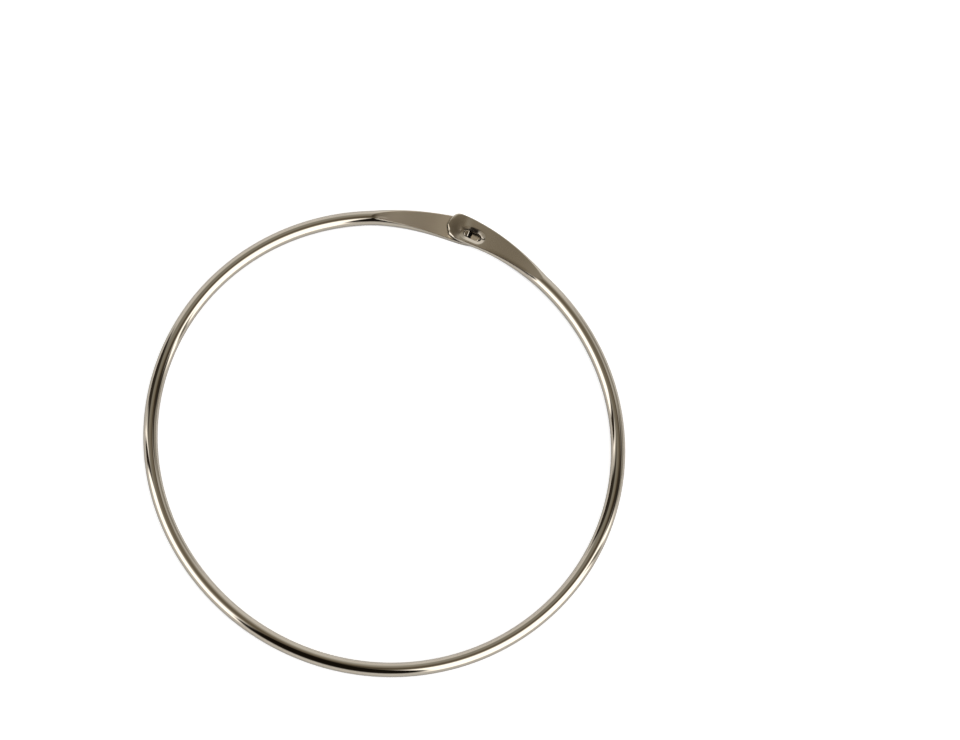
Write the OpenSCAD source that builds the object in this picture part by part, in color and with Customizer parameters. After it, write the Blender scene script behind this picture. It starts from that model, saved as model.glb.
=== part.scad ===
// Large spring key ring: one length of round wire bent into a circle, both ends pressed flat.
// The flat ends lap over each other. A tongue on the lower end stands in the eye of the upper one.
// Millimetres, +Z up. The origin is the ring's centre, on the plane that the wire rests on.
// The clasp is on +Y. Lengths along the wire are counted from the eye, clockwise positive.

/* [Wire ring] */
// Diameter of the round wire
wire_d = 3.2; // [2.8:0.1:3.6]
// Clear diameter inside the ring
inner_d = 101.6; // [80:0.2:130]

/* [Pressed ends] */
// Thickness of both flat ends at their tips
blade_t = 1.25; // [1:0.05:1.4]
// Length of the upper end, from the start of its flat to its tip
upper_len = 24.8; // [22:0.1:30]
// Length of the lower end, from the start of its flat to its tip
lower_len = 25.5; // [22:0.1:30]
// How far the two tips pass each other
overlap = 8.1; // [7.8:0.1:9]
// How far the upper end's outer edge spreads past the round wire
upper_outer_spread = 2.75; // [2:0.05:3.2]
// How far the upper end's inner edge spreads past the round wire
upper_inner_spread = 1.15; // [0.9:0.05:1.8]
// How far the lower end's outer edge spreads past the round wire
lower_outer_spread = 2.7; // [2:0.05:3.2]
// How far the lower end's inner edge spreads past the round wire
lower_inner_spread = 1.15; // [0.9:0.05:1.8]
// Air between the two lapped ends
lap_gap = 0.08; // [0.05:0.01:0.15]

/* [Tips] */
// How far the outer corner is rounded off at the very tip
tip_outer_drop = 3.65; // [3:0.05:4]
// Length over which the rounding of the outer corner fades
tip_outer_fade = 0.62; // [0.4:0.02:0.8]
// How far the inner edge sweeps in at the very tip
tip_inner_drop = 2; // [1.4:0.05:2.2]
// Length over which the sweep of the inner edge fades
tip_inner_fade = 1.95; // [1.5:0.05:2.2]
// How far the inner corner is clipped at the very tip
tip_clip_drop = 1.33; // [0.9:0.01:1.5]
// Length of the clip at the inner corner
tip_clip_len = 0.9; // [0.6:0.05:1.1]

/* [Eye in the upper end] */
// Distance from the upper tip to the middle of the eye
eye_back = 6.05; // [5.8:0.05:6.3]
// Length of the eye's opening along the wire
eye_len = 4.3; // [3.9:0.05:4.5]
// Width of the eye's opening
eye_w = 1.7; // [1.4:0.05:1.9]
// Distance from the wire's centre line to the middle of the eye, outwards
eye_offset = 0.05; // [-0.1:0.05:0.3]
// Width of the sunk lip round the eye
lip_w = 0.85; // [0.5:0.05:0.95]
// Depth of the sunk lip
lip_depth = 0.5; // [0.3:0.05:0.6]

/* [Tongue on the lower end] */
// Thickness of the tongue along the wire
tongue_t = 1.1; // [0.9:0.05:1.2]
// Clearance between the tongue and the eye
tongue_gap = 0.1; // [0.08:0.01:0.15]
// How far the top of the tongue stays below the upper end's face
tongue_below = 0.3; // [0.1:0.05:0.5]
// Length of the window that is left beside the tongue
window_len = 0.7; // [0.5:0.05:0.8]

/* [Hidden] */

wire_r = wire_d / 2;
ring_r = inner_d / 2 + wire_r;
// Facets of an exact round, stations along a pressed end, and points on each of its two sides
round_fn = 96;
stations = 44;
side_points = 11;
// Stations crowd towards the tip by this power
crowding = 1.6;
// A flat starts as a point and thins the wire quickly at first, by this power
press_power = 2.3;
// An edge spreads in a straight line, or eases in
straight = 1;
eased = 1.25;
// How deep a pressed end starts inside the round wire, and how far its skin lies under the wire's
root_bury = 0.4;
root_skin = 0.02;
// Width across the very end of a tip
tip_end_w = 0.4;
// How far a cut runs past the face that it opens
over = 0.5;

upper_tip = -eye_back;
upper_root = upper_tip + upper_len;
lower_tip = upper_tip + overlap;
lower_root = lower_tip - lower_len;

// Angle on the ring of a place along the wire
function ring_angle(along) = 90 - along / ring_r * 180 / PI;

// Thickness of a pressed end of length len, at a distance from its root
function press_t(from_root, len) =
    blade_t + (wire_d - blade_t) * pow(1 - min(1, max(0, from_root / len)), press_power);

// Smooth step from 0 to 1
function smooth(x) = let (c = min(1, max(0, x))) c * c * (3 - 2 * c);

// The lapped ends lie this far above and below the middle of the wire
lap_rise = (press_t(upper_len - overlap, upper_len) + blade_t) / 4 + lap_gap / 2;

// Reach of an edge from the wire's centre line, before its tip is rounded
function reach(from_root, len, spread, power) =
    from_root > 0 ? wire_r + spread * pow(from_root / len, power) : wire_r - root_skin;

// What the rounded tip takes off the outer and the inner edge
function outer_drop(from_tip) = tip_outer_drop * exp(-from_tip / tip_outer_fade);
function inner_drop(from_tip) =
    tip_inner_drop * exp(-from_tip / tip_inner_fade) + tip_clip_drop * max(0, 1 - from_tip / tip_clip_len);

// Section of a pressed end: flat above and below, its sides still curved like the wire's.
// Each point is [distance from the ring's axis, height].
function section(outer, inner, thick, middle) =
    let (lean = asin(thick / wire_d))
    [
        for (i = [0:side_points - 1]) let (a = lean * (2 * i / (side_points - 1) - 1))
            [ring_r + outer - wire_r + wire_r * cos(a), middle + wire_r * sin(a)],
        for (i = [0:side_points - 1]) let (a = lean * (1 - 2 * i / (side_points - 1)))
            [ring_r - inner + wire_r - wire_r * cos(a), middle + wire_r * sin(a)]
    ];

// Distances from the root of the stations along a pressed end: one is inside the round wire
function station_places(len) =
    [-root_bury, for (i = [0:stations]) len * (1 - pow(1 - i / stations, crowding))];

// A pressed end whose root lies at a place along the wire. It runs anticlockwise to its tip.
module pressed_end(root, len, outer_spread, inner_spread, outer_power, inner_power, rise) {
    places = station_places(len);
    ring_points = [
        for (u = places)
            let (
                inner = reach(u, len, inner_spread, inner_power) - inner_drop(len - u),
                outer = reach(u, len, outer_spread, outer_power) - outer_drop(len - u),
                thick = min(press_t(u, len), wire_d - 2 * root_skin),
                middle = wire_r + rise * smooth(u / (len - overlap)),
                turn = ring_angle(root - u)
            )
            for (p = section(max(outer, tip_end_w - inner), inner, thick, middle))
                [p[0] * cos(turn), p[0] * sin(turn), p[1]]
    ];
    n = 2 * side_points;
    last = (len(places) - 1) * n;
    polyhedron(
        points = ring_points,
        faces = [
            [for (i = [n - 1:-1:0]) i],
            [for (i = [0:n - 1]) last + i],
            for (k = [0:len(places) - 2], i = [0:n - 1])
                let (j = (i + 1) % n) [k * n + i, k * n + j, (k + 1) * n + j, (k + 1) * n + i]
        ]
    );
}

// The eye, the tongue and the window are drawn here: X runs along the wire and Z starts at the
// wire's middle, where the air between the lapped ends is.
module at_eye() { translate([0, ring_r + eye_offset, wire_r]) children(); }

// The upper end's face and the lower end's underside at the eye
upper_face = lap_rise + press_t(upper_root, upper_len) / 2;
lower_under = -lap_rise - press_t(-lower_root, lower_len) / 2;
eye_end = (eye_len - eye_w) / 2;
tongue_w = eye_w - 2 * tongue_gap;
tongue_right = tongue_gap + tongue_t - eye_len / 2;
tongue_top = upper_face - tongue_below;
// The tongue leaves the lower end in a bend as large as its own thickness
bend_x = tongue_right - tongue_t;
bend_z = lower_under + tongue_t;

// Slot with round ends, its sides leaning out by spread over its height
module flared_slot(width, height, spread) {
    for (side = [-1, 1])
        translate([side * eye_end, 0, 0])
            cylinder(h = height, r1 = width / 2, r2 = width / 2 + spread, $fn = round_fn);
    rotate([90, 0, 90])
        linear_extrude(2 * eye_end, center = true)
            polygon([
                [-width / 2, 0], [width / 2, 0],
                [width / 2 + spread, height], [-width / 2 - spread, height]
            ]);
}

module eye_cut() {
    lip_rate = lip_w / lip_depth;
    flared_slot(eye_w, upper_face, 0);
    translate([0, 0, upper_face - lip_depth])
        flared_slot(eye_w, lip_depth + over, (lip_depth + over) * lip_rate);
}

module window_cut() {
    difference() {
        translate([bend_x, -tongue_w / 2, lower_under - over])
            cube([tongue_t + window_len, tongue_w, over - lower_under]);
        translate([bend_x, 0, bend_z])
            rotate([90, 0, 0])
                cylinder(h = tongue_w + 2 * over, r = tongue_t, center = true, $fn = round_fn);
        translate([bend_x - over, -tongue_w / 2 - over, bend_z])
            cube([tongue_t + over, tongue_w + 2 * over, wire_r]);
    }
}

module tongue() {
    translate([0, 0, bend_z])
        linear_extrude(tongue_top - bend_z) {
            translate([-eye_end, 0]) circle(r = tongue_w / 2, $fn = round_fn);
            translate([-eye_end, -tongue_w / 2]) square([eye_end + tongue_right, tongue_w]);
        }
}

module round_wire() {
    rotate([0, 0, ring_angle(lower_root)])
        rotate_extrude(angle = 360 + ring_angle(upper_root) - ring_angle(lower_root), $fn = 2 * round_fn)
            translate([ring_r, wire_r])
                circle(r = wire_r, $fn = round_fn);
}

module upper_end() {
    difference() {
        pressed_end(upper_root, upper_len, upper_outer_spread, upper_inner_spread,
            straight, eased, lap_rise);
        at_eye() eye_cut();
    }
}

module lower_end() {
    difference() {
        mirror([1, 0, 0])
            pressed_end(-lower_root, lower_len, lower_outer_spread, lower_inner_spread,
                eased, straight, -lap_rise);
        at_eye() window_cut();
    }
    at_eye() tongue();
}

module key_ring() {
    color([0.7, 0.67, 0.6]) {
        round_wire();
        upper_end();
        lower_end();
    }
}

key_ring();
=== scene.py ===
# %% [markdown]
# # A spring key ring of nickel-plated wire
# One length of steel wire is bent into a circle as wide as a hand. Both of its ends are pressed flat and
# lapped, and a small tongue on the lower end stands in the eye of the upper one. This lesson builds the
# ring from its rule, a wire whose section changes on its way round, and then cuts the eye and the window
# into it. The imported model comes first, because it gives the frame that everything is measured in.

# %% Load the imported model
import math

import bmesh
import bpy
from mathutils import Matrix, Vector


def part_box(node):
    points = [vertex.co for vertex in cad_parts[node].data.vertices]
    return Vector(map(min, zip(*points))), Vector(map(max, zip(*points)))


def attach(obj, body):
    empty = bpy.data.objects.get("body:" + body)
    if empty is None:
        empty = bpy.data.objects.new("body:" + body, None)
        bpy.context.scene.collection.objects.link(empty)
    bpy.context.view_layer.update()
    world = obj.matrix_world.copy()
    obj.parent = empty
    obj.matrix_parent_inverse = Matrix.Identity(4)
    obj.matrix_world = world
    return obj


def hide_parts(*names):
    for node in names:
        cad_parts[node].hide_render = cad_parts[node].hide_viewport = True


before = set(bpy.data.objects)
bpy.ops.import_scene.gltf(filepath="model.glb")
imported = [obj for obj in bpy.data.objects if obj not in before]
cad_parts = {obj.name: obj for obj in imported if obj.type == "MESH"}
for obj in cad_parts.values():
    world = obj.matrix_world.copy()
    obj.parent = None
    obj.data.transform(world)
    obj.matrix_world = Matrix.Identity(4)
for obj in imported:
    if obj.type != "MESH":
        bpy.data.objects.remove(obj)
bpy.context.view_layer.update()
low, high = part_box("key_ring")
print("packed ring, mm:", [round(1000 * side, 2) for side in high - low])

# %% [markdown]
# ## Sizes
# The wire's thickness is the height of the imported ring, which lies flat. The rest are the ring's own
# sizes, in metres. "Along" is a length along the wire, counted clockwise from the middle of the eye,
# which is on +Y. "Out" is away from the ring's centre. Points closer than the weld become one.

# %% Name the sizes
MM = 0.001
WIRE_R = (high.z - low.z) / 2
RING_R = 50.8 * MM + WIRE_R
BLADE_T = 1.25 * MM
LAP_GAP = 0.08 * MM
OVERLAP = 8.1 * MM
EYE_BACK = 6.05 * MM
UPPER_LEN = 24.8 * MM
LOWER_LEN = 25.5 * MM
EYE_LEN = 4.3 * MM
EYE_W = 1.7 * MM
EYE_OFFSET = 0.05 * MM
LIP_W = 0.85 * MM
LIP_DROP = 0.36 * MM
EYE_WALL = 1.0 * MM
TONGUE_T = 1.1 * MM
TONGUE_GAP = 0.1 * MM
TONGUE_BELOW = 0.3 * MM
WINDOW_LEN = 0.7 * MM
EDGE_ROUND = 0.09 * MM
TIP_ROUND = 0.9 * MM
DENT = 0.08 * MM
TIP_DENT = 0.42 * MM
WELD = 0.001 * MM
UPPER_TIP = -EYE_BACK
UPPER_ROOT = UPPER_TIP + UPPER_LEN
LOWER_TIP = UPPER_TIP + OVERLAP
LOWER_ROOT = LOWER_TIP - LOWER_LEN
print(f"wire {2000 * WIRE_R:.2f} mm, ring to the wire's middle {1000 * RING_R:.2f} mm")

# %% [markdown]
# ## Camera
# A long lens keeps the ring's far and near sides almost alike, as a product picture does. The camera
# looks down steeply, and it is rolled, so that the clasp shows up to the right of the top. Instead of
# lens shift, the camera is slid sideways in its own plane, which leaves the view direction as it is.

# %% Aim the camera
SENSOR_MM = 36


def aim_camera(azimuth, elevation, roll, distance, frame_width, slide_right, slide_up):
    """Adds a camera that looks at the ring's middle from a direction, then slides in its own plane."""
    a, e, r = (math.radians(angle) for angle in (azimuth, elevation, roll))
    forward = Vector((math.sin(a) * math.cos(e), math.cos(a) * math.cos(e), -math.sin(e)))
    level = Vector((math.cos(a), -math.sin(a), 0))
    upright = level.cross(forward)
    right = math.cos(r) * level + math.sin(r) * upright
    up = right.cross(forward)
    camera = bpy.data.objects.new("camera", bpy.data.cameras.new("camera"))
    bpy.context.scene.collection.objects.link(camera)
    camera.data.sensor_width = SENSOR_MM
    camera.data.lens = SENSOR_MM * distance / frame_width
    camera.data.clip_start = 0.01
    aim = Vector((0, 0, WIRE_R)) + slide_right * right + slide_up * up
    camera.matrix_world = Matrix.Translation(aim - distance * forward) @ Matrix(
        (right, up, -forward)
    ).transposed().to_4x4()
    bpy.context.scene.camera = camera
    return camera


camera = aim_camera(
    azimuth=0.04,
    elevation=71.855,
    roll=22.83,
    distance=1.5,
    frame_width=0.2139,
    slide_right=0.02111,
    slide_up=0.015944,
)
bpy.context.scene.view_settings.view_transform = "Standard"
print(f"camera at {1000 * camera.location.length:.0f} mm, lens {camera.data.lens:.0f} mm")

# %% [markdown]
# ## Surroundings
# Polished metal has hardly any colour of its own: what it shows is the room. In a studio that room is
# made of cards. Here the cards are painted into the world, each as a patch of directions, given by a
# compass angle and an angle down from overhead. That costs no noise, and it can't cast odd shadows.

# %% A small kit for writing sums as nodes
class Sum:
    """A number in a node tree. Python's own signs add Math nodes, so a formula reads as it is written."""

    def __init__(self, tree, socket):
        self.tree, self.socket = tree, socket

    def node(self, operation, *values):
        math_node = self.tree.nodes.new("ShaderNodeMath")
        math_node.operation = operation
        for slot, value in zip(math_node.inputs, (self, *values)):
            if isinstance(value, Sum):
                self.tree.links.new(value.socket, slot)
            else:
                slot.default_value = value
        return Sum(self.tree, math_node.outputs[0])

    def __add__(self, other): return self.node("ADD", other)
    def __sub__(self, other): return self.node("SUBTRACT", other)
    def __mul__(self, other): return self.node("MULTIPLY", other)
    def __truediv__(self, other): return self.node("DIVIDE", other)
    def __pow__(self, other): return self.node("POWER", other)
    def __neg__(self): return self * -1.0
    def __radd__(self, other): return self + other
    def __rsub__(self, other): return -self + other
    def __rmul__(self, other): return self * other


def call(operation, function):
    """A function that takes a plain number or a Sum."""
    def either(value, *rest):
        numbers = (value, *rest)
        first = next((n for n in numbers if isinstance(n, Sum)), None)
        if first is None:
            return function(*numbers)
        if value is not first:
            value = first * 0.0 + value
        return value.node(operation, *rest)
    return either


least = call("MINIMUM", min)
most = call("MAXIMUM", max)
sine = call("SINE", math.sin)
cosine = call("COSINE", math.cos)
arcsine = call("ARCSINE", math.asin)
exponential = call("EXPONENT", math.exp)
root = call("SQRT", math.sqrt)
size_of = call("ABSOLUTE", abs)


def clamp(value):
    return least(most(value, 0.0), 1.0)


def smooth(value):
    """A smooth step from 0 to 1."""
    step = clamp(value)
    return step * step * (3.0 - 2.0 * step)


# %% Paint the surroundings
world = bpy.data.worlds.new("studio")
bpy.context.scene.world = world
world.use_nodes = True
sky = world.node_tree
sky.nodes.clear()


def card(sky_colour, facing, width, top, bottom, colour, soft=6, fade=6):
    """Lays a card over the colours so far. Angles are in degrees. Facing is the compass angle of its
    middle, and top and bottom count down from overhead. Its sides blend over soft, its ends over fade."""
    turn = sine((compass - math.radians(facing)) * 0.5)
    off_side = arcsine(least(turn * turn, 1.0) ** 0.5) * 2.0
    side = smooth((math.radians(width / 2) - off_side) / math.radians(soft) + 0.5)
    over = smooth((zenith - math.radians(top)) / math.radians(fade) + 0.5)
    under = smooth((math.radians(bottom) - zenith) / math.radians(fade) + 0.5)
    mix = sky.nodes.new("ShaderNodeMix")
    mix.data_type = "RGBA"
    sky.links.new((side * over * under).socket, mix.inputs["Factor"])
    sky.links.new(sky_colour, mix.inputs["A"])
    mix.inputs["B"].default_value = (*colour, 1)
    return mix.outputs["Result"]


direction = sky.nodes.new("ShaderNodeTexCoord").outputs["Generated"]
parts = sky.nodes.new("ShaderNodeSeparateXYZ")
sky.links.new(direction, parts.inputs[0])
east, north, up = (Sum(sky, parts.outputs[axis]) for axis in "XYZ")
compass = north.node("ARCTAN2", east)
zenith = up.node("ARCCOSINE")

ramp = sky.nodes.new("ShaderNodeValToRGB")
sky.links.new((zenith / (math.pi / 2)).socket, ramp.inputs["Fac"])
ramp.color_ramp.elements[0].color = (0.16, 0.135, 0.10, 1)
ramp.color_ramp.elements[1].color = (1.02, 0.99, 0.96, 1)
for degrees, shade in ((18, (0.28, 0.24, 0.18)), (36, (0.54, 0.51, 0.46)), (54, (0.92, 0.90, 0.86))):
    ramp.color_ramp.elements.new(degrees / 90).color = (*shade, 1)
colour = ramp.outputs["Color"]
WHITE = (2.5, 2.45, 2.4)
BLACK = (0.012, 0.009, 0.006)
for patch in (
    dict(facing=150, width=90, top=20, bottom=56, soft=36, fade=16, colour=(0.36, 0.34, 0.29)),
    dict(facing=60, width=32, top=13, bottom=31, soft=12, fade=8, colour=(0.085, 0.065, 0.04)),
    dict(facing=0, width=130, top=-20, bottom=8, soft=40, fade=10, colour=(0.06, 0.05, 0.035)),
    dict(facing=168, width=21, top=38, bottom=94, soft=6, fade=12, colour=(0.05, 0.04, 0.03)),
    dict(facing=232, width=36, top=30, bottom=60, soft=10, fade=24, colour=(0.9, 0.88, 0.84)),
    dict(facing=217, width=66, top=42, bottom=116, soft=5, fade=14, colour=WHITE),
    dict(facing=191, width=9, top=40, bottom=96, soft=4, colour=(0.04, 0.03, 0.02)),
    dict(facing=347, width=72, top=24, bottom=94, soft=8, fade=18, colour=WHITE),
    dict(facing=46, width=44, top=54, bottom=108, soft=12, fade=12, colour=(0.45, 0.43, 0.39)),
    dict(facing=41, width=20, top=26, bottom=54, soft=6, colour=(0.05, 0.04, 0.03)),
    dict(facing=29, width=14, top=46, bottom=64, soft=5, colour=(0.04, 0.035, 0.03)),
    dict(facing=12, width=6, top=52, bottom=94, soft=4, colour=(0.3, 0.29, 0.26)),
    dict(facing=279, width=58, top=-6, bottom=80, soft=8, fade=24, colour=BLACK),
    dict(facing=285, width=52, top=6, bottom=66, soft=5, fade=16, colour=BLACK),
    dict(facing=279, width=64, top=44, bottom=68, soft=5, fade=10, colour=BLACK),
):
    colour = card(colour, **patch)
background = sky.nodes.new("ShaderNodeBackground")
sky.links.new(colour, background.inputs["Color"])
sky.links.new(background.outputs[0], sky.nodes.new("ShaderNodeOutputWorld").inputs["Surface"])
print("cards in the world:", sum(n.bl_idname == "ShaderNodeMix" for n in sky.nodes))

# %% [markdown]
# ## Floor
# The ring lies on plain white paper. The paper takes the ring's shadow as any matt surface does. Its
# colour is also darkened by an Ambient Occlusion node where something lies close over it, which paints
# shade under the ring on top of that shadow. For the camera it gets some light of its own, so that it
# reads as clean white, except where something lies close over it: the same node holds that light back
# there. Where the wire mirrors the paper, it gets a quarter of that light, held back there as well.

# %% Lay the floor
def new_material(name):
    material = bpy.data.materials.new(name)
    material.use_nodes = True
    material.node_tree.nodes.clear()
    return material, material.node_tree


PAPER = 0.8
MIRRORED = 0.2
paper, tree = new_material("white_paper")
matt = tree.nodes.new("ShaderNodeBsdfDiffuse")
glow = tree.nodes.new("ShaderNodeEmission")
glow.inputs["Color"].default_value = (1, 1, 1, 1)
cover = tree.nodes.new("ShaderNodeAmbientOcclusion")
cover.inputs["Distance"].default_value = 2 * WIRE_R
cover.samples = 16
path = tree.nodes.new("ShaderNodeLightPath")
seen, glossy, through = (
    Sum(tree, path.outputs[f"Is {kind} Ray"]) for kind in ("Camera", "Glossy", "Transmission")
)
open_sky = Sum(tree, cover.outputs["AO"])
# Painted shade: the paper's colour is darkened by the Ambient Occlusion under and beside the ring.
tree.links.new((open_sky * PAPER).socket, matt.inputs["Color"])
lift = seen * smooth((open_sky - 0.25) / 0.2) * PAPER
lift += (glossy + through) * open_sky * open_sky * MIRRORED
tree.links.new(lift.socket, glow.inputs["Strength"])
both = tree.nodes.new("ShaderNodeAddShader")
tree.links.new(matt.outputs[0], both.inputs[0])
tree.links.new(glow.outputs[0], both.inputs[1])
tree.links.new(both.outputs[0], tree.nodes.new("ShaderNodeOutputMaterial").inputs["Surface"])

bm = bmesh.new()
bmesh.ops.create_grid(bm, x_segments=1, y_segments=1, size=2.0)
floor_mesh = bpy.data.meshes.new("floor")
bm.to_mesh(floor_mesh)
bm.free()
floor = bpy.data.objects.new("floor", floor_mesh)
bpy.context.scene.collection.objects.link(floor)
floor.data.materials.append(paper)

# %% [markdown]
# ## The rule of the pressed wire
# Pressing keeps the amount of metal the same, so where the wire gets thin it spreads sideways, and its
# sides stay as round as the wire was. Short formulas say how thick, how wide and how high the wire is at
# any place, and how far the punch dents it. They take plain numbers or node sockets, so the sweep below
# and the cutters after it are made from the same rule.

# %% Write the rule
PRESS_POWER = 2.3


def thickness(from_root, length):
    """How thick the pressed wire is, at a distance past the place where its flat starts."""
    left = 1.0 - clamp(from_root / length)
    return BLADE_T + (2 * WIRE_R - BLADE_T) * left**PRESS_POWER


LAP_RISE = (thickness(UPPER_LEN - OVERLAP, UPPER_LEN) + BLADE_T) / 4 + LAP_GAP / 2


def middle(from_root, length, rise):
    """Height of the pressed wire's middle: the two ends part, so that they can lie over each other."""
    return WIRE_R + rise * smooth(from_root / (length - OVERLAP))


TIP_OUTER_DROP = 3.65 * MM
TIP_OUTER_FADE = 0.62 * MM
TIP_INNER_DROP = 2.0 * MM
TIP_INNER_FADE = 1.95 * MM
TIP_CLIP_DROP = 1.33 * MM
TIP_CLIP_LEN = 0.9 * MM
TIP_END_W = 0.4 * MM


def outer_drop(from_tip):
    """What the rounded outer corner takes off the reach, near the tip."""
    return TIP_OUTER_DROP * exponential(-from_tip / TIP_OUTER_FADE)


def inner_drop(from_tip):
    """What the sweep and the clipped corner take off the inner reach, near the tip."""
    clip = TIP_CLIP_DROP * most(1.0 - from_tip / TIP_CLIP_LEN, 0.0)
    return TIP_INNER_DROP * exponential(-from_tip / TIP_INNER_FADE) + clip


def spread(from_root, length, amount, power):
    """Reach of an edge from the wire's middle line, before its tip is rounded."""
    return WIRE_R + amount * clamp(from_root / length) ** power


EYE_STRAIGHT = EYE_LEN - EYE_W
TIP_START = -0.6 * MM
TIP_GROW = 2.4 * MM
TIP_SHIFT = 0.4 * MM
TIP_ASIDE = 0.35 * MM
DENT_FADE = 0.5 * MM
TIP_FADE = 1.9 * MM


def dent(x, y):
    """How far the punch draws the face down round the eye.
    Towards the tip it runs out as a long trough, a little further along and further in."""
    to_tip = smooth((TIP_START - x) / TIP_GROW)
    beyond = most(size_of(x) - EYE_STRAIGHT / 2 - TIP_SHIFT * to_tip, 0.0)
    aside = y + TIP_ASIDE * to_tip
    gap = most(root(beyond * beyond + aside * aside) - EYE_W / 2, 0.0)
    return (DENT + TIP_DENT * to_tip) * exponential(-gap / (DENT_FADE + TIP_FADE * to_tip))


print(f"the ends lie {1000 * LAP_RISE:.2f} mm above and below the wire's middle")

# %% [markdown]
# ## Geometry Nodes: one half of the ring
# A sweep with a section that keeps changing is more than Curve to Mesh can do, so the tree starts from a
# flat grid. One direction of the grid runs along the wire, from the point opposite the clasp to the tip,
# and the other runs round the section. Set Position then rolls the grid up by the rule. Rows crowd where
# the form is fine, and the last rows close the tip with a rounded edge. Both halves use the same tree.
# The lower half is the mirror image of its sweep, so its faces are flipped to look outwards again.

# %% Helpers that build and run a tree
def new_tree(name, inputs):
    """A Geometry Nodes tree with named inputs. Gives the tree and its inputs as sums."""
    tree = bpy.data.node_groups.new(name, "GeometryNodeTree")
    tree.interface.new_socket("Geometry", in_out="OUTPUT", socket_type="NodeSocketGeometry")
    for label, kind in inputs.items():
        tree.interface.new_socket(label, in_out="INPUT", socket_type=kind)
    entry = tree.nodes.new("NodeGroupInput")
    return tree, {label: Sum(tree, entry.outputs[label]) for label in inputs}


def add_node(tree, kind, settings=(), **inputs):
    """Adds a node. Settings are its own options; inputs are values or sockets, by their labels."""
    node = tree.nodes.new(kind)
    for option, value in dict(settings).items():
        setattr(node, option, value)
    for label, value in inputs.items():
        socket = node.inputs[label.replace("_", " ")]
        if isinstance(value, Sum):
            value = value.socket
        if isinstance(value, bpy.types.NodeSocket):
            tree.links.new(value, socket)
        else:
            socket.default_value = value
    return node


def finish_tree(tree, geometry, material):
    """Ends a tree with Realize Instances and Set Material, so that the mesh carries its own material."""
    real = add_node(tree, "GeometryNodeRealizeInstances", Geometry=geometry)
    dressed = add_node(tree, "GeometryNodeSetMaterial", Geometry=real.outputs[0], Material=material)
    tree.links.new(dressed.outputs[0], tree.nodes.new("NodeGroupOutput").inputs["Geometry"])


def grow(name, tree, values):
    """Runs a tree on an empty mesh, with its inputs set, and gives the result as a plain object."""
    seed = bpy.data.objects.new(name, bpy.data.meshes.new(name))
    bpy.context.scene.collection.objects.link(seed)
    modifier = seed.modifiers.new("grow", "NODES")
    modifier.node_group = tree
    for item in tree.interface.items_tree:
        if item.in_out == "INPUT" and item.name in values:
            modifier[item.identifier] = values[item.name]
    bpy.context.view_layer.update()
    mesh = bpy.data.meshes.new_from_object(seed.evaluated_get(bpy.context.evaluated_depsgraph_get()))
    seed.modifiers.remove(modifier)
    old = seed.data
    seed.data = mesh
    bpy.data.meshes.remove(old)
    mesh.name = name
    print(f"{name}: {len(mesh.vertices)} vertices, {len(mesh.polygons)} faces")
    return seed


# %% Build the sweep
ROUND_ROWS = 110
FLAT_ROWS = 170
CAP_ROWS = 6
AROUND = 128
EVEN = 0.35
EDGE_HEIGHT = 0.62
EDGE_POINTS = 4.0
FLAT_POINTS = 0.3
TINY = 0.000001


def pick(choice, first, second):
    """The first value where choice is 0, and the second where it is 1."""
    return first + (second - first) * choice


def side_point(g, half, edge, reach, corner_x, edge_x, middle_x):
    """A point of the section between its side (g = 0) and the middle of its flat (g = 1).
    The side is an arc of the wire's radius, and a soft edge leads over to the flat."""
    edge_z = least(least(edge, half), (WIRE_R - half) * EDGE_HEIGHT)
    lean = arcsine(clamp((half - edge_z) / WIRE_R))
    arc_share = lean * WIRE_R
    edge_share = (edge_x + edge_z) * EDGE_POINTS
    flat_share = (corner_x - edge_x - middle_x) * FLAT_POINTS
    whole = arc_share + edge_share + flat_share
    g1 = arc_share / whole
    g2 = (arc_share + edge_share) / whole
    on_arc = clamp(g / most(g1, TINY)) * lean
    on_edge = clamp((g - g1) / most(g2 - g1, TINY))
    on_flat = clamp((g - g2) / most(1.0 - g2, TINY))
    start_x = reach - WIRE_R + cosine(lean) * WIRE_R
    start_z = half - edge_z
    end_x = corner_x - edge_x
    stay = 1.0 - on_edge
    bend_x = stay * stay * start_x + 2.0 * stay * on_edge * corner_x + on_edge * on_edge * end_x
    bend_z = stay * stay * start_z + (1.0 - stay * stay) * half
    x = reach - WIRE_R + cosine(on_arc) * WIRE_R + bend_x - start_x + on_flat * (middle_x - end_x)
    z = sine(on_arc) * WIRE_R + bend_z - start_z
    return x, z, on_flat


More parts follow.
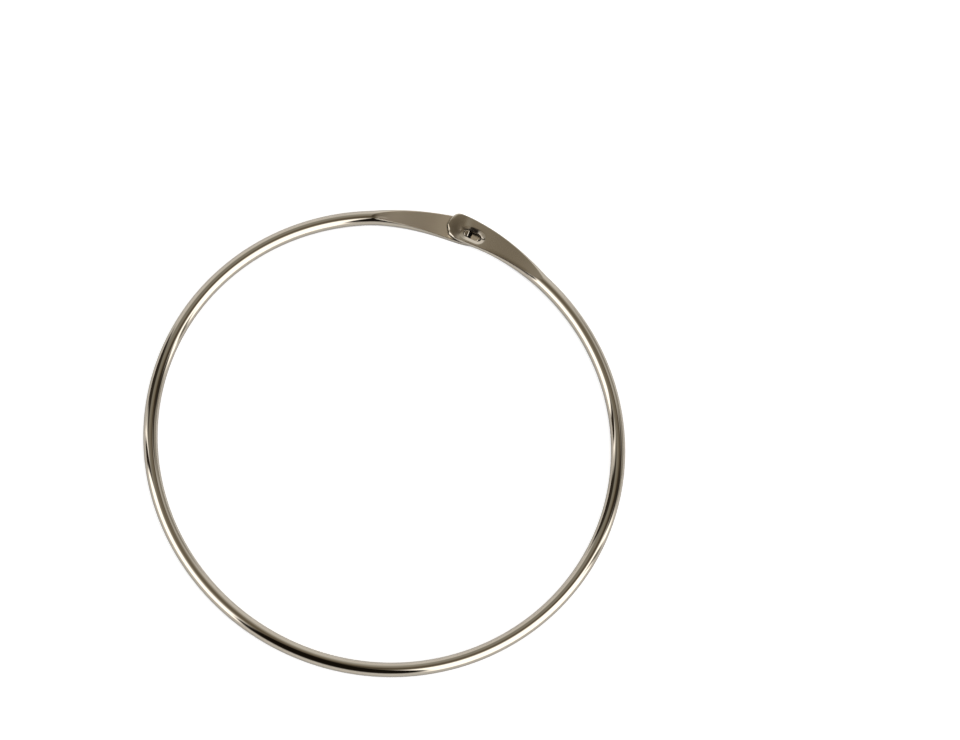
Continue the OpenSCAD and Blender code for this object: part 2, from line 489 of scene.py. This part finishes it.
def make_sweep_tree(material):
    """The tree of one half of the ring, from opposite the clasp to its tip."""
    labels = ("Root", "Length", "Outer spread", "Inner spread", "Outer power", "Inner power")
    labels += ("Rise", "Side", "Dent", "Inner ease")
    tree, size = new_tree("pressed_wire", {label: "NodeSocketFloat" for label in labels})
    length = size["Length"]
    rows = ROUND_ROWS + FLAT_ROWS + CAP_ROWS
    grid = add_node(
        tree, "GeometryNodeMeshGrid", Size_X=1.0, Size_Y=1.0, Vertices_X=rows + 1, Vertices_Y=AROUND + 1
    )
    start = tree.nodes.new("GeometryNodeInputPosition").outputs[0]
    place = add_node(tree, "ShaderNodeSeparateXYZ", Vector=start)
    row = (Sum(tree, place.outputs["X"]) + 0.5) * rows
    turn = Sum(tree, place.outputs["Y"]) + 0.5

    on_round = clamp(row / ROUND_ROWS)
    on_flat = clamp((row - ROUND_ROWS) / FLAT_ROWS)
    on_cap = clamp((row - ROUND_ROWS - FLAT_ROWS) / (CAP_ROWS - 1))
    at_end = clamp(row - (rows - 1))
    crowd = EVEN * on_flat + (1.0 - EVEN) * (0.5 - 0.5 * cosine(on_flat * math.pi))
    from_root = (
        (on_round - 1.0) * (math.pi * RING_R - size["Root"])
        + crowd * (length - EDGE_ROUND)
        + sine(on_cap * (math.pi / 2)) * EDGE_ROUND
    )
    inset = (1.0 - cosine(on_cap * (math.pi / 2))) * EDGE_ROUND
    from_tip = length - from_root

    outer = spread(from_root, length, size["Outer spread"], size["Outer power"]) - outer_drop(from_tip)
    inner = spread(from_root, length, size["Inner spread"], size["Inner power"]) - inner_drop(from_tip)
    outer = most(outer, TIP_END_W - inner) - inset
    inner = inner - inset
    half = (thickness(from_root, length) * 0.5 - inset) * (1.0 - at_end)
    chord = root(most(WIRE_R**2 - half * half, 0.0))
    outer_corner = outer - WIRE_R + chord
    inner_corner = inner - WIRE_R + chord
    middle_x = (outer_corner - inner_corner) * 0.5

    outer_slope = outer_drop(from_tip) / TIP_OUTER_FADE
    inner_slope = TIP_INNER_DROP / TIP_INNER_FADE * exponential(-from_tip / TIP_INNER_FADE)
    widest = (outer_corner + inner_corner) * 0.25
    edge = EDGE_ROUND + (TIP_ROUND - EDGE_ROUND) * smooth(1.0 - from_tip / (3 * MM))
    outer_edge = least(root(1.0 + outer_slope * outer_slope) * edge, widest)
    inner_edge = least(root(1.0 + inner_slope * inner_slope) * edge, widest)

    over = 1.0 - (1.0 - 2.0 * turn).node("ABSOLUTE")
    inside = over.node("GREATER_THAN", 0.5)
    g = 1.0 - (1.0 - 2.0 * over).node("ABSOLUTE")
    sign = 1.0 - 2.0 * inside
    x, z, flat = side_point(
        g,
        half,
        edge,
        pick(inside, outer, inner),
        pick(inside, outer_corner, inner_corner),
        pick(inside, outer_edge, inner_edge),
        middle_x * sign,
    )
    below = turn.node("GREATER_THAN", 0.5)
    radius = RING_R + x * sign
    angle = math.pi / 2 - (size["Root"] - from_root) / RING_R
    at_x = radius * cosine(angle)
    at_y = radius * sine(angle)
    near_edge = clamp(1.0 - flat * 2.7)
    eased = sine(clamp(from_root / length * 2.0 - 0.2) * math.pi) * size["Inner ease"]
    sunk = size["Dent"] * dent(at_x, at_y - (RING_R + EYE_OFFSET))
    sunk += eased * inside * near_edge * near_edge
    z = (z - sunk * clamp(z / most(half, TINY)) * (1.0 - below)) * (1.0 - 2.0 * below)
    rolled = add_node(
        tree,
        "ShaderNodeCombineXYZ",
        X=size["Side"] * at_x,
        Y=at_y,
        Z=middle(from_root, length, size["Rise"]) + z,
    )
    swept = add_node(
        tree, "GeometryNodeSetPosition", Geometry=grid.outputs["Mesh"], Position=rolled.outputs[0]
    )
    closed = add_node(tree, "GeometryNodeMergeByDistance", Geometry=swept.outputs[0], Distance=WELD)
    mirrored = size["Side"].node("LESS_THAN", 0.0)
    outward = add_node(tree, "GeometryNodeFlipFaces", Mesh=closed.outputs[0], Selection=mirrored)
    finish_tree(tree, outward.outputs[0], material)
    return tree

# %% [markdown]
# ## Nickel plate
# Bright nickel is a metal a little warmer than grey, with hardly any roughness. All that breaks the
# mirror is made from noise in the ring's own space. Fibres run along the wire, because it was drawn
# through a die. The pressed flats are duller, since the press leaves a fine grain on them; the rule above
# tells the shader where they are. Their colour is also painted a shade brighter, the lower flat most, as
# painted light. The tool left a few small marks on the inner edge where the lower flat starts. Narrow
# gaps get painted shade: an Ambient Occlusion node finds them and darkens the colour there.

# %% Mix the nickel
NICKEL = (0.53, 0.485, 0.415)
FIBRE_W = 0.16 * MM
FIBRE_LEN = 9 * MM
MARKS_ALONG = -21.1 * MM
MARKS_OUT = -0.7 * MM
DRAWN_DEEP = 0.0005 * MM
GRAIN_DEEP = 0.0012 * MM
MARKS_DEEP = 0.05 * MM
POLISHED = 0.015
DRAWN_ROUGH = 0.035
PRESSED_ROUGH = 0.15
LOWER_ROUGH = 0.05
FLAT_PAINTED_LIGHT = 0.14
LOWER_PAINTED_LIGHT = 0.6
PAINTED_GAP_SHADE = 0.12
nickel, tree = new_material("nickel_plate")
spot = tree.nodes.new("ShaderNodeTexCoord").outputs["Object"]
parts = add_node(tree, "ShaderNodeSeparateXYZ", Vector=spot)
x, y, z = (Sum(tree, parts.outputs[axis]) for axis in "XYZ")
reach = root(x * x + y * y)
along = (math.pi / 2 - y.node("ARCTAN2", x)) * RING_R
out = reach - RING_R
below = z.node("LESS_THAN", WIRE_R) * along.node("LESS_THAN", LOWER_TIP)
lower = most(below, along.node("LESS_THAN", UPPER_TIP))
thick = pick(lower, thickness(UPPER_ROOT - along, UPPER_LEN), thickness(along - LOWER_ROOT, LOWER_LEN))
normal = tree.nodes.new("ShaderNodeNewGeometry").outputs["True Normal"]
facing_up = Sum(tree, add_node(tree, "ShaderNodeSeparateXYZ", Vector=normal).outputs["Z"])
pressed = 2 * WIRE_R - thick
flat = smooth((facing_up - 0.75) / 0.2) * smooth(pressed / (0.3 * MM))


def noise(tree, scale, detail=2.0, roughness=0.5, vector=None, w=None):
    node = add_node(tree, "ShaderNodeTexNoise", Vector=spot if vector is None else vector)
    if w is not None:
        node.noise_dimensions = "4D"
        tree.links.new(w.socket, node.inputs["W"])
    node.inputs["Scale"].default_value = scale
    node.inputs["Detail"].default_value = detail
    node.inputs["Roughness"].default_value = roughness
    return Sum(tree, node.outputs["Fac"])


fibre = add_node(tree, "ShaderNodeCombineXYZ", X=out / FIBRE_W, Y=z / FIBRE_W, Z=x / FIBRE_LEN).outputs[0]
drawn = noise(tree, 1.0, 2.0, 0.6, fibre, y / FIBRE_LEN)
blotch = noise(tree, 260.0, 3.0, 0.55)
grain = noise(tree, 5200.0, 2.0, 0.5)
die = noise(tree, 2600.0, 2.0, 0.6)
marks_along = smooth(1.0 - size_of(along - MARKS_ALONG) / (2.3 * MM))
marks_across = smooth(1.0 - size_of(out - MARKS_OUT) / (0.65 * MM))
height = drawn * DRAWN_DEEP + grain * flat * GRAIN_DEEP + die * marks_along * marks_across * MARKS_DEEP
bump = add_node(tree, "ShaderNodeBump", Height=height, Distance=1.0, Strength=1.0)
# Painted light: the flats' colour is made brighter, the lower flat most, to stand for the brighter
# reflection they show.
painted_light_on_flats = FLAT_PAINTED_LIGHT + LOWER_PAINTED_LIGHT * lower * smooth(pressed / (0.9 * MM))
shade = (1.03 - 0.1 * blotch) * (1.0 + flat * painted_light_on_flats)
# Painted shade: an Ambient Occlusion node darkens the colour in narrow gaps and where the blades meet.
crevice = add_node(tree, "ShaderNodeAmbientOcclusion", {"samples": 6}, Distance=0.55 * MM)
in_the_open = smooth((Sum(tree, crevice.outputs["AO"]) - 0.45) / 0.5)
shade = shade * (PAINTED_GAP_SHADE + (1.0 - PAINTED_GAP_SHADE) * in_the_open)
metal = add_node(
    tree,
    "ShaderNodeBsdfPrincipled",
    Metallic=1.0,
    Roughness=POLISHED + DRAWN_ROUGH * drawn + flat * (PRESSED_ROUGH + LOWER_ROUGH * lower),
    Normal=bump.outputs[0],
)
red, green, blue = NICKEL
tint = add_node(tree, "ShaderNodeCombineXYZ", X=red * shade, Y=green * shade, Z=blue * shade)
tree.links.new(tint.outputs[0], metal.inputs["Base Color"])
tree.links.new(metal.outputs[0], tree.nodes.new("ShaderNodeOutputMaterial").inputs["Surface"])
print("nickel:", len(tree.nodes), "nodes")

# %% Sweep both halves
sweep = make_sweep_tree(nickel)
upper_half = grow(
    "upper_half",
    sweep,
    {
        "Root": UPPER_ROOT,
        "Length": UPPER_LEN,
        "Outer spread": 2.75 * MM,
        "Inner spread": 1.15 * MM,
        "Outer power": 1.0,
        "Inner power": 1.25,
        "Rise": LAP_RISE,
        "Side": 1.0,
        "Dent": 1.0,
        "Inner ease": 0.07 * MM,
    },
)
lower_half = grow(
    "lower_half",
    sweep,
    {
        "Root": -LOWER_ROOT,
        "Length": LOWER_LEN,
        "Outer spread": 2.7 * MM,
        "Inner spread": 1.15 * MM,
        "Outer power": 1.25,
        "Inner power": 1.0,
        "Rise": -LAP_RISE,
        "Side": -1.0,
    },
)

# %% [markdown]
# ## Cutters for the eye and the window
# A punch makes the eye, and a second tool sinks the lip round it. The cutter is both at once: loops with
# the outline of a slot, stacked by a profile that already holds the rounded edges. Its lip follows the
# dented face of the blade, and runs out towards the tip.

# %% Shapes by loops
def round_corner(before, corner, after, radius, steps):
    """Points of an arc that rounds off the corner of a profile."""
    before, corner, after = (Vector(point) for point in (before, corner, after))
    one, two = (before - corner).normalized(), (after - corner).normalized()
    half = one.angle(two) / 2
    centre = corner + (one + two).normalized() * (radius / math.sin(half))
    start = corner + one * (radius / math.tan(half)) - centre
    end = corner + two * (radius / math.tan(half)) - centre
    sweep_angle = start.angle(end)
    points = []
    for step in range(steps + 1):
        share = step / steps
        arm = start * math.sin((1 - share) * sweep_angle) + end * math.sin(share * sweep_angle)
        points.append(centre + arm / math.sin(sweep_angle))
    return points


def slot_outline(straight, radius, points=20):
    """A slot with round ends, anticlockwise. Straight is the distance between the ends' centres."""
    outline = []
    for end in (1, -1):
        for step in range(points + 1):
            angle = math.pi * (step / points - 0.5)
            across = straight / 2 + radius * math.cos(angle)
            outline.append((end * across, end * radius * math.sin(angle)))
        for step in range(1, points):
            share = step / points
            outline.append((end * straight * (0.5 - share), end * radius))
    return outline


def loft(name, loops):
    """A closed mesh through loops of equally many 3-D points, bottom loop first."""
    bm = bmesh.new()
    rings = [[bm.verts.new(point) for point in loop] for loop in loops]
    for lower, upper in zip(rings, rings[1:]):
        for i in range(len(lower)):
            j = (i + 1) % len(lower)
            bm.faces.new((lower[i], lower[j], upper[j], upper[i]))
    bm.faces.new(reversed(rings[0]))
    bm.faces.new(rings[-1])
    bmesh.ops.recalc_face_normals(bm, faces=bm.faces)
    mesh = bpy.data.meshes.new(name)
    bm.to_mesh(mesh)
    bm.free()
    for face in mesh.polygons:
        face.use_smooth = True
    thing = bpy.data.objects.new(name, mesh)
    bpy.context.scene.collection.objects.link(thing)
    return thing


def at_eye(x, y, z):
    """From the eye's own place, where X runs along the wire and Z starts at its middle, to the ring's."""
    return (x, RING_R + EYE_OFFSET + y, WIRE_R + z)


def face_height(x, y=0.0):
    """Height of the upper end's face over the wire's middle, with the dent round the eye."""
    from_root = UPPER_ROOT - x
    face = middle(from_root, UPPER_LEN, LAP_RISE) - WIRE_R + thickness(from_root, UPPER_LEN) / 2
    return face - dent(x, y)


TIP_LOSS = 0.8
CORNER_LOSS = 0.4


def lip_share(x, y):
    """How much of its depth the lip keeps: less towards the tip, and less at the far outer corner."""
    far_corner = smooth((x - 0.6 * MM) / (1.2 * MM)) * smooth(y / (0.6 * MM))
    return 1.0 - TIP_LOSS * smooth(-x / TIP_GROW) - CORNER_LOSS * far_corner


def make_eye_cutter():
    """The punch for the eye and its sunk lip."""
    flat = (LIP_W + MM, 0)
    rim = (LIP_W, 0)
    throat = (0, LIP_DROP)
    foot = (0, EYE_WALL)
    profile = [(LIP_W + 0.6 * MM, -0.5 * MM)]
    profile += round_corner(flat, rim, throat, 0.4 * MM, 7)[1:]
    profile += round_corner(rim, throat, foot, 0.12 * MM, 8)
    loops = [[at_eye(x, y, 0) for x, y in slot_outline(EYE_STRAIGHT, EYE_W / 2)]]
    for widen, depth in reversed(profile):
        outline = slot_outline(EYE_STRAIGHT, EYE_W / 2 + widen)
        sunk = [depth * lip_share(x, y) if depth > 0 else depth for x, y in outline]
        loops.append([at_eye(x, y, face_height(x, y) - deep) for (x, y), deep in zip(outline, sunk)])
    return loft("eye_cutter", loops)


eye_cutter = make_eye_cutter()
print("eye cutter:", len(eye_cutter.data.polygons), "faces")

# %% [markdown]
# ## The tongue and its window
# The tongue is a strip that was cut free in the lower end and turned up through the eye. It leaves the
# blade in a round bend, and beside it stays the window that it came from.

# %% Tongue and window
TONGUE_W = EYE_W - 2 * TONGUE_GAP
TONGUE_RIGHT = TONGUE_GAP + TONGUE_T - EYE_LEN / 2
TONGUE_TOP = LAP_RISE + thickness(UPPER_ROOT, UPPER_LEN) / 2 - TONGUE_BELOW
LOWER_UNDER = -LAP_RISE - thickness(-LOWER_ROOT, LOWER_LEN) / 2
LOWER_FACE = -LAP_RISE + thickness(-LOWER_ROOT, LOWER_LEN) / 2
BEND_X = TONGUE_RIGHT - TONGUE_T
BEND_Z = LOWER_UNDER + TONGUE_T
WINDOW_RIGHT = TONGUE_RIGHT + WINDOW_LEN
WINDOW_ROUND = 0.22 * MM
TOP_SLANT = 0.16
OVER = 0.5 * MM
HAIR = 0.004 * MM


def make_window_cutter():
    """A block that leaves the tongue's bend standing, and rounds the far edge of the window."""
    outline = [(BEND_X, LOWER_UNDER - OVER), (WINDOW_RIGHT, LOWER_UNDER - OVER)]
    outline += round_corner(
        (WINDOW_RIGHT, LOWER_UNDER),
        (WINDOW_RIGHT, LOWER_FACE),
        (WINDOW_RIGHT + MM, LOWER_FACE),
        WINDOW_ROUND,
        8,
    )[:-2]
    outline += [(WINDOW_RIGHT + WINDOW_ROUND, 0), (TONGUE_RIGHT, 0)]
    for step in range(13):
        angle = math.pi / 2 * step / 12
        outline.append((BEND_X + TONGUE_T * math.cos(angle), BEND_Z - HAIR - TONGUE_T * math.sin(angle)))
    loops = [[at_eye(x, side * TONGUE_W / 2, z) for x, z in outline] for side in (-1, 1)]
    return loft("window_cutter", loops)


def tongue_outline(inset, points=12):
    """The tongue from above: round on its left, with two small rounded corners on its right."""
    corner = 0.2 * MM
    outline = []
    for x, y, radius, first in (
        (TONGUE_RIGHT - corner, TONGUE_W / 2 - corner, corner, 0.0),
        (-EYE_STRAIGHT / 2, 0.0, TONGUE_W / 2, 0.5),
        (-EYE_STRAIGHT / 2, 0.0, TONGUE_W / 2, 1.0),
        (TONGUE_RIGHT - corner, corner - TONGUE_W / 2, corner, 1.5),
    ):
        for step in range(points + 1):
            angle = math.pi * (first + 0.5 * step / points)
            reach = radius - inset
            outline.append((x + reach * math.cos(angle), y + reach * math.sin(angle)))
    following = outline[1:] + outline[:1]
    return [point for point, after in zip(outline, following) if math.dist(point, after) > WELD / 10]


def make_tongue():
    """The upright part of the tongue, with its top edge rounded and its top slanted."""
    soft = 0.16 * MM
    loops = [[at_eye(x, y, BEND_Z + HAIR) for x, y in tongue_outline(HAIR)]]
    for step in range(7):
        angle = math.pi / 2 * step / 6
        height = TONGUE_TOP - soft + soft * math.sin(angle)
        outline = tongue_outline(HAIR + soft - soft * math.cos(angle))
        loops.append([at_eye(x, y, height + TOP_SLANT * y) for x, y in outline])
    return loft("tongue", loops)


window_cutter = make_window_cutter()
tongue = make_tongue()

# %% [markdown]
# ## Cutting
# The last tree joins the halves, takes the two cutters out and adds the tongue. Mesh Boolean also tells
# which edges it made. Those are marked sharp, so that the polished flat beside a cut stays flat to the
# eye, instead of borrowing its shading from the cut.

# %% Join, cut and unite
def make_cut_tree(material):
    """The tree that turns the two halves into one ring with its eye, window and tongue."""
    tree, given = new_tree(
        "clasp_cuts",
        {label: "NodeSocketObject" for label in ("Upper", "Lower", "Eye", "Window", "Tongue")},
    )
    mesh = {
        label: add_node(tree, "GeometryNodeObjectInfo", Object=value).outputs["Geometry"]
        for label, value in given.items()
    }

    def together(*geometries):
        joined = tree.nodes.new("GeometryNodeJoinGeometry")
        for geometry in geometries:
            tree.links.new(geometry, joined.inputs[0])
        return joined.outputs[0]

    def boolean(operation, first, second):
        cut = tree.nodes.new("GeometryNodeMeshBoolean")
        cut.operation = operation
        cut.solver = "EXACT"
        tree.links.new(first, cut.inputs["Mesh 1" if operation == "DIFFERENCE" else "Mesh 2"])
        tree.links.new(second, cut.inputs["Mesh 2"])
        sharp = add_node(
            tree,
            "GeometryNodeSetShadeSmooth",
            {"domain": "EDGE"},
            Geometry=cut.outputs["Mesh"],
            Selection=cut.outputs["Intersecting Edges"],
            Shade_Smooth=False,
        )
        return sharp.outputs[0]

    halves = together(mesh["Upper"], mesh["Lower"])
    closed = add_node(tree, "GeometryNodeMergeByDistance", Geometry=halves, Distance=WELD).outputs[0]
    cut = boolean("DIFFERENCE", boolean("DIFFERENCE", closed, mesh["Eye"]), mesh["Window"])
    whole = boolean("UNION", cut, mesh["Tongue"])
    finish_tree(tree, whole, material)
    return tree


ring = grow(
    "wire_ring",
    make_cut_tree(nickel),
    {
        "Upper": upper_half,
        "Lower": lower_half,
        "Eye": eye_cutter,
        "Window": window_cutter,
        "Tongue": tongue,
    },
)
for helper in (upper_half, lower_half, eye_cutter, window_cutter, tongue):
    bpy.data.objects.remove(helper)

# %% Smooth shading and a closed skin
SHARP = math.radians(24)
bm = bmesh.new()
bm.from_mesh(ring.data)
bmesh.ops.remove_doubles(bm, verts=bm.verts, dist=2 * WELD)
bmesh.ops.dissolve_degenerate(bm, edges=bm.edges, dist=WELD)
bmesh.ops.recalc_face_normals(bm, faces=bm.faces)
for face in bm.faces:
    face.smooth = True
for edge in bm.edges:
    if len(edge.link_faces) == 2 and edge.calc_face_angle(0) > SHARP:
        edge.smooth = False
print("open edges:", sum(len(edge.link_faces) != 2 for edge in bm.edges))
print(f"volume {bm.calc_volume() * 1e9:.1f} mm3")
bm.to_mesh(ring.data)
bm.free()

# %% Hand the ring over
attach(ring, "root")
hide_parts("key_ring")
